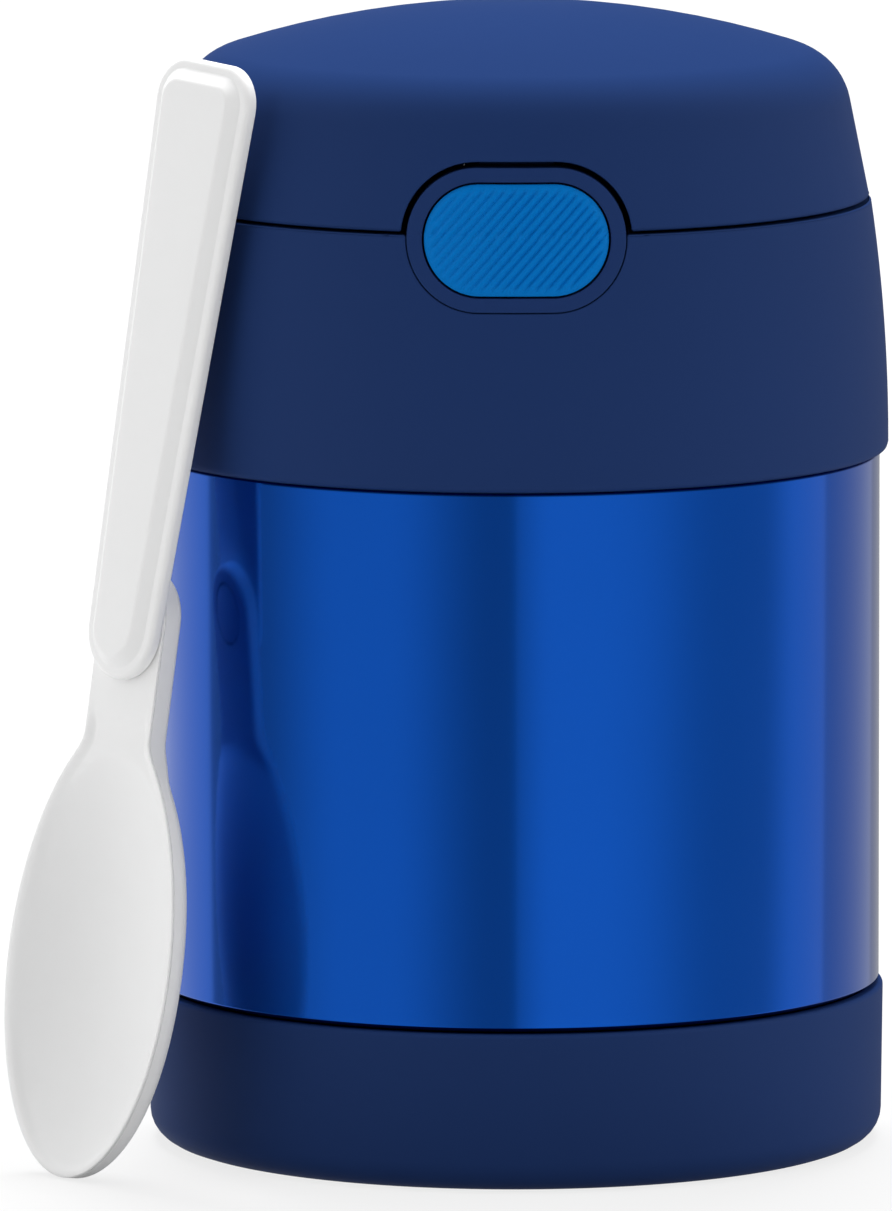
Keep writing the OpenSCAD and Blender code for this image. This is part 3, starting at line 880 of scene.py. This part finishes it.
# In degrees: round the jar, back to the lid, sideways, and the handle's own turn on its stud.
SPOON_TURN = -50
SPOON_LEAN = -9
SPOON_ROLL = 0.8
HANDLE_TURN = 2.4
SPOON_FRAME = (
    Matrix.Rotation(math.radians(SPOON_TURN), 4, "Z")
    @ Matrix.Translation(Vector((SPOON_ASIDE, -RIM_R - SPOON_OUT, PIVOT_Z)) * MM)
    @ Matrix.Rotation(math.radians(SPOON_LEAN), 4, "X")
    @ Matrix.Rotation(math.radians(SPOON_ROLL), 4, "Y")
)
HANDLE_FRAME = SPOON_FRAME @ Matrix.Rotation(math.radians(HANDLE_TURN), 4, "Y")
HANDLE_L = 66.3
HANDLE_W = 8.6
HANDLE_R = 6.1
HANDLE_DROP = 1.3
HANDLE_CORNER = 5
# In degrees: how far the handle's sides spread, and how far its end is crowned.
SIDE_SPREAD = 2
END_CROWN = 4
PIVOT_STEPS = 48
CORNER_STEPS = 24
# The handle from its back to its face, as (inset, height, fillet radius).
GRIP_LEVELS = ((0, 0, 0), (0, 1.6, 0.7), (1.3, 1.6, 0.35), (2.7, 2.7, 0.9), (4.2, 2.7, 0))
GRIP_EDGE = 0.35
STUD_SINK = 0.5
NECK_T = 3.1
NECK_W = 6
PIVOT_R = 2.2
CAP_R = 3.6
CAP_T = 0.95
CAP_GAP = 0.3
RUN = 0.05
HANDLE_GAP = 0.03
BOWL_L = 66.7
BOWL_W = 15
BOWL_D = 8.2
HOLLOW_D = 6.2
MID_Z = -41
BOWL_TOP = -13
LONG_R = 60
CROSS_R = 21.5
HOLLOW_LONG = 51.36
HOLLOW_CROSS = 18.39
FRONT_FILLET = 0.14
BACK_FILLET = 0.9
FRONT_TURNS = (0.4, 0.8, 1.2, math.pi / 2)
BACK_TURNS = (math.pi / 2, 1.3, 1.04, 0.78, 0.52, 0.26)
# The mould's parting line round the spoon, as (depth inwards, distance behind the face).
SEAM_LINE = ((0, 0.18), (0.12, 0.22), (0.12, 0.34), (0, 0.38))
# Powers of the bowl's outline above and below its middle, and of its blend with the neck.
UPPER_POWER = 1.9
LOWER_POWER = 2
JOIN_POWER = 8
HOLLOW_SOFT = 0.2
BACK_SOFT = 0.5
# The step from the neck into the hollow: its depth, and where it is below the pivot.
LEDGE_D = 0.55
LEDGE_AT = (10.8, 13.6)
# The face sinks to its full depth between these two distances from the rim.
RIM_LAND = (0.3, 1.5)
# The neck's flat back goes over into the bowl's round one between these heights.
PLATE_Z = (-24, -15)
# The sections start from a line down the middle, which ends here.
SPINE_END = -56
SECTION_STEPS = 20
SECTION_CROWD = 0.7
OUTLINE_STEPS = 130
# How far the cutters stand out of what they cut.
CUT_PAST = 1


def arc(centre, radius, start, end, count):
    """Points of an arc between two angles in degrees."""
    angles = [math.radians(start + (end - start) * k / count) for k in range(count + 1)]
    return [(centre[0] + radius * math.cos(a), centre[1] + radius * math.sin(a)) for a in angles]


def make_handle():
    """The folding handle with its stud, and the cap that keeps the stud in the neck."""
    side = HANDLE_W - HANDLE_CORNER
    top = HANDLE_L - HANDLE_CORNER
    right, left = -SIDE_SPREAD, 180 + SIDE_SPREAD
    outline = arc((0, -HANDLE_DROP), HANDLE_R, left - 360, right, PIVOT_STEPS)
    outline += arc((side, top), HANDLE_CORNER, right, 90 - END_CROWN, CORNER_STEPS)
    outline += arc((-side, top), HANDLE_CORNER, 90 + END_CROWN, left, CORNER_STEPS)
    made = stepped("spoon_grip", outline, rounded(GRIP_LEVELS))
    set_down(made, Matrix.Translation(Vector((0, -HANDLE_GAP, 0)) * MM))
    round_edges(made, GRIP_EDGE)
    stud = rod("stud", PIVOT_R, (0, -STUD_SINK, 0), (0, NECK_T - CAP_T + RUN, 0))
    combine(made, stud, "UNION")
    set_down(made, HANDLE_FRAME)
    finish_piece(made, "handle", "spoon_plastic", SPOON_WHITE, "spoon_handle")
    cap = rod("pivot_cap", CAP_R, (0, NECK_T - CAP_T + RUN, 0), (0, NECK_T, 0))
    round_edges(cap, 0.2)
    set_down(cap, SPOON_FRAME)
    finish_piece(cap, "handle", "spoon_plastic", SPOON_WHITE, "spoon_pivot_cap")


def neck_half(z):
    """Half width of the neck, with its round end above the pivot."""
    return math.sqrt(NECK_W ** 2 - max(0, z) ** 2) if z > MID_Z else 0


def bowl_half(z):
    """Half width of the bowl's own outline: nearly an ellipse, longer above its middle."""
    if z > BOWL_TOP:
        return 0
    above, below = (UPPER_POWER, BOWL_TOP - MID_Z), (LOWER_POWER, BOWL_L + MID_Z)
    power, length = above if z > MID_Z else below
    share = min(1, abs(z - MID_Z) / length)
    return BOWL_W * (1 - share ** power) ** (1 / power)


def spoon_half(z):
    """Half width of neck and bowl together, with a smooth way between the two."""
    return (neck_half(z) ** JOIN_POWER + bowl_half(z) ** JOIN_POWER) ** (1 / JOIN_POWER)


def soft_max(a, b, width):
    """The larger of two values, rounded off where they are nearly the same."""
    return (a + b + math.hypot(a - b, width)) / 2


def dish(x, z, depth, long_r, cross_r):
    """Depth of a surface that is round across with cross_r and along with long_r."""
    ring = long_r - cross_r + math.sqrt(max(0, cross_r ** 2 - x * x))
    return depth - long_r + math.sqrt(ring ** 2 - (z - MID_Z) ** 2)


def bowl_outline():
    """Points round the bowl and neck with their outward directions."""
    turns = [math.pi * k / OUTLINE_STEPS for k in range(OUTLINE_STEPS + 1)]
    heights = [NECK_W - (NECK_W + BOWL_L) * (1 - math.cos(turn)) / 2 for turn in turns]
    outline = [Vector((spoon_half(z), z)) for z in heights]
    outline += [Vector((-p.x, p.y)) for p in reversed(outline[1:-1])]
    outward = []
    for k in range(len(outline)):
        along = (outline[(k + 1) % len(outline)] - outline[k - 1]).normalized()
        outward.append(Vector((-along.y, along.x)))
    return outline, outward


def front_depth(spot, inside):
    """How deep the face lies at a point that is that far inside the rim."""
    bottom = dish(spot.x, spot.y, HOLLOW_D, HOLLOW_LONG, HOLLOW_CROSS)
    hollow = soft_max(bottom, 0, HOLLOW_SOFT)
    ledge = LEDGE_D * smooth_share(-spot.y, *LEDGE_AT)
    return (hollow + ledge) * smooth_share(inside, *RIM_LAND)


def back_depth(spot):
    """How far behind the face's plane the spoon's back lies at a point."""
    plate = NECK_T * smooth_share(spot.y, *PLATE_Z)
    return soft_max(dish(spot.x, spot.y, BOWL_D, LONG_R, CROSS_R), plate, BACK_SOFT)


def rim_section(edge, outward):
    """Points of the spoon's section from the middle of its face, round the rim, to its back."""
    middle = Vector((0, max(SPINE_END, min(0, edge.y))))
    inner = edge - outward * FRONT_FILLET
    section = []
    for i in range(SECTION_STEPS + 1):
        spot = middle.lerp(inner, (i / SECTION_STEPS) ** SECTION_CROWD)
        inside = FRONT_FILLET + (inner - spot).dot(outward)
        section.append((spot, front_depth(spot, inside)))
    for turn in FRONT_TURNS:
        spot = inner + outward * FRONT_FILLET * math.sin(turn)
        section.append((spot, FRONT_FILLET * (1 - math.cos(turn))))
    for inward, depth in SEAM_LINE:
        section.append((edge - outward * inward, depth))
    inner = edge - outward * BACK_FILLET
    for turn in BACK_TURNS:
        drop = BACK_FILLET * (1 - math.cos(turn))
        spot = inner + outward * BACK_FILLET * math.sin(turn)
        section.append((spot, back_depth(spot) - drop))
    for i in range(SECTION_STEPS + 1):
        spot = inner.lerp(middle, 1 - (1 - i / SECTION_STEPS) ** SECTION_CROWD)
        section.append((spot, back_depth(spot)))
    return section


def make_bowl():
    """Bowl and neck in one moulding, with the stud's bore and the cap's recess."""
    outline, outward = bowl_outline()
    sections = [rim_section(edge, out) for edge, out in zip(outline, outward)]
    rows = len(sections[0]) - 1

    def place(u, v):
        spot, depth = sections[round(u * len(outline)) % len(outline)][round(v * rows)]
        return spot.x, depth, spot.y

    made = mapped("spoon_scoop", len(outline), rows, place)
    behind = (0, NECK_T + CUT_PAST, 0)
    combine(made, rod("bore", PIVOT_R + RUN, (0, -CUT_PAST, 0), behind), "DIFFERENCE")
    recess = rod("recess", CAP_R + CAP_GAP, (0, NECK_T - CAP_T, 0), behind)
    combine(made, recess, "DIFFERENCE")
    set_down(made, SPOON_FRAME)
    finish_piece(made, "bowl", "spoon_plastic", SPOON_WHITE, "spoon_bowl")


# How far the edges of moulded pieces are rounded.
SKIN_EDGE = 0.22
BEZEL_EDGE = 0.15
WELL_EDGE = 0.25
INNER_EDGE = 0.2
# The seam between collar and cover, as it is opened on either side.
COLLAR_SEAM = {"seam_z": PART_Z, "outside_r": RIM_R - 0.4, "width": 0.25, "shift": -0.16}
COVER_SEAM = {"seam_z": COVER_Z, "outside_r": COVER_R - 0.1, "width": 0.3, "shift": 0.06}

make_jar()
make_thread("neck_thread", NECK_R, False, *NECK_RIDGE, "jar", "steel", STEEL)
make_thread("lid_thread", THREAD_R, True, *LID_RIDGE, "lid", "liner_plastic", LINER_GREY)
make_lid_inside()
softened("lid_collar", SKIN_EDGE, "lid", "navy_plastic", ear_bosses(), COLLAR_SEAM)
softened("button_bezel", BEZEL_EDGE, "lid", "navy_plastic")
softened("cover_shell", SKIN_EDGE, "cover", "navy_plastic", seam=COVER_SEAM)
softened("spoon_well", WELL_EDGE, "lid", "navy_plastic", [splash_rib()])
softened("lid_body", INNER_EDGE, "lid", "liner_plastic")
softened("cover_catch", WELL_EDGE, "cover", "navy_plastic")
softened("latch_slide", INNER_EDGE, "button", "liner_plastic")
make_hinge()
make_button_coil()
make_button()
make_handle()
make_bowl()


# Studio --------------------------------------------------------------------------------------


def make_camera():
    data = bpy.data.cameras.new("camera")
    data.sensor_width = SENSOR
    data.lens = FOCAL_PX * SENSOR / PICTURE_H
    data.clip_end = CLIP_END
    made = bpy.data.objects.new("camera", data)
    bpy.context.scene.collection.objects.link(made)
    eye = Vector(CAMERA_AT) * MM
    aim = Vector(CAMERA_AIM) * MM
    turn = (aim - eye).to_track_quat("-Z", "Y").to_matrix().to_4x4()
    roll = Matrix.Rotation(math.radians(CAMERA_ROLL), 4, "Z")
    made.matrix_world = Matrix.Translation(eye) @ turn @ roll
    bpy.context.scene.camera = made


# Soft boxes round the jar, each with its first and last azimuth in degrees, the width of its two
# soft edges, and how much light it adds to the room's own level. Azimuth 0 is in front, and 90 is
# on the right. The first set shows in gloss, and the second lights everything else.
SHEEN_LEVEL = 0.42
SHEEN_BOXES = (
    (-190, -113, 1, 2, 0.58),
    (-74, -24, 36, 34, 0.44),
    (0, 62, 1, 44, 0.27),
    (5, 46, 12, 44, 0.29),
    (70, 154, 40, 4, 0.19),
    (92, 115, 16, 2, 0.32),
)
CEILING_LEVEL = 0.3
# The ceiling begins between these two sines of the elevation.
CEILING_FROM = (0.0, 0.2)
LIGHT_LEVEL = 0.25
LIGHT_BOXES = (
    (-122, -38, 30, 30, 1.16),
    (36, 134, 30, 30, 1.26),
)


def room_level(turn, level, boxes):
    """How bright the room is towards an azimuth, with its soft boxes."""
    for first, last, soft_in, soft_out, light in boxes:
        level = level + light * turn.step(first - soft_in / 2, first + soft_in / 2) * (
            1 - turn.step(last - soft_out / 2, last + soft_out / 2))
    return level


def make_world():
    """A white room whose walls show as tall soft boxes in polished metal."""
    world = bpy.data.worlds.new("studio")
    bpy.context.scene.world = world
    tree = Tree(world)
    ray = tree.node("ShaderNodeTexCoord", output="Generated")
    x = tree.node("ShaderNodeSeparateXYZ", {}, {"Vector": ray})
    y = Wire(tree, x.socket.node.outputs["Y"])
    z = Wire(tree, x.socket.node.outputs["Z"])
    turn = x.maths("ARCTAN2", x, y * -1.0) * (180 / math.pi)
    sheen = room_level(turn, SHEEN_LEVEL, SHEEN_BOXES)
    sheen = sheen * (1 - (1 - CEILING_LEVEL) * z.step(*CEILING_FROM))
    light = room_level(turn, LIGHT_LEVEL, LIGHT_BOXES)
    path = tree.node("ShaderNodeLightPath", output="Is Camera Ray").socket.node
    glossy = Wire(tree, path.outputs["Is Glossy Ray"])
    camera = Wire(tree, path.outputs["Is Camera Ray"])
    strength = light + glossy * (sheen - light)
    strength = strength + camera * (1.0 - strength)
    glow = tree.node("ShaderNodeBackground", {}, {"Color": (1, 1, 1, 1), "Strength": strength})
    tree.node_output(glow, "ShaderNodeOutputWorld")


# How much of the floor's white is its own to the camera, which keeps the shadow on it soft.
FLOOR_GLOW = 0.79
# The floor lies this far under the foot, so that the two planes aren't the same one.
FLOOR_DROP = 0.02
# The floor's side in metres, its cells, and its grey to other rays and to the camera.
FLOOR_SIZE = 12
FLOOR_CELLS = 8
FLOOR_GREYS = ((0.5, 0.5, 0.5), (0.6, 0.6, 0.6))
# The lamp's place, aim and size in metres, and its power in watts.
LAMP_AT = (0, 0.95, 1.75)
LAMP_AIM = (0, 0, 0.1)
LAMP_SIZE = (1.2, 0.8)
LAMP_POWER = 62


def make_floor():
    """A white floor on which a soft shadow shows."""
    bpy.ops.object.select_all(action="DESELECT")
    bpy.ops.mesh.primitive_grid_add(
        x_subdivisions=FLOOR_CELLS, y_subdivisions=FLOOR_CELLS, size=FLOOR_SIZE,
        location=(0, 0, -FLOOR_DROP * MM))
    made = bpy.context.object
    made.name = "floor"
    made.visible_glossy = False
    paint, tree = material("white_floor")
    seen = tree.node("ShaderNodeLightPath", output="Is Camera Ray")
    paper = tree.node("ShaderNodeBsdfDiffuse", {}, {"Color": tree.blend(seen, *FLOOR_GREYS)})
    glow = tree.node("ShaderNodeEmission", {}, {"Color": (1, 1, 1, 1), "Strength": 1.0})
    mixed = tree.node("ShaderNodeMixShader", {}, {0: seen * FLOOR_GLOW, 1: paper, 2: glow})
    tree.node_output(mixed)
    made.data.materials.append(paint)


def soft_lamp(name, place, aim, size, power):
    """A rectangular lamp that lights the object without being seen."""
    data = bpy.data.lights.new(name, "AREA")
    data.shape = "RECTANGLE"
    data.size, data.size_y = size
    data.energy = power
    made = bpy.data.objects.new(name, data)
    bpy.context.scene.collection.objects.link(made)
    turn = (Vector(aim) - Vector(place)).to_track_quat("-Z", "Y").to_matrix().to_4x4()
    made.matrix_world = Matrix.Translation(Vector(place)) @ turn
    made.visible_glossy = False
    made.visible_camera = False


make_camera()
make_world()
make_floor()
soft_lamp("back_lamp", LAMP_AT, LAMP_AIM, LAMP_SIZE, LAMP_POWER)

bpy.context.scene.view_settings.view_transform = "Standard"
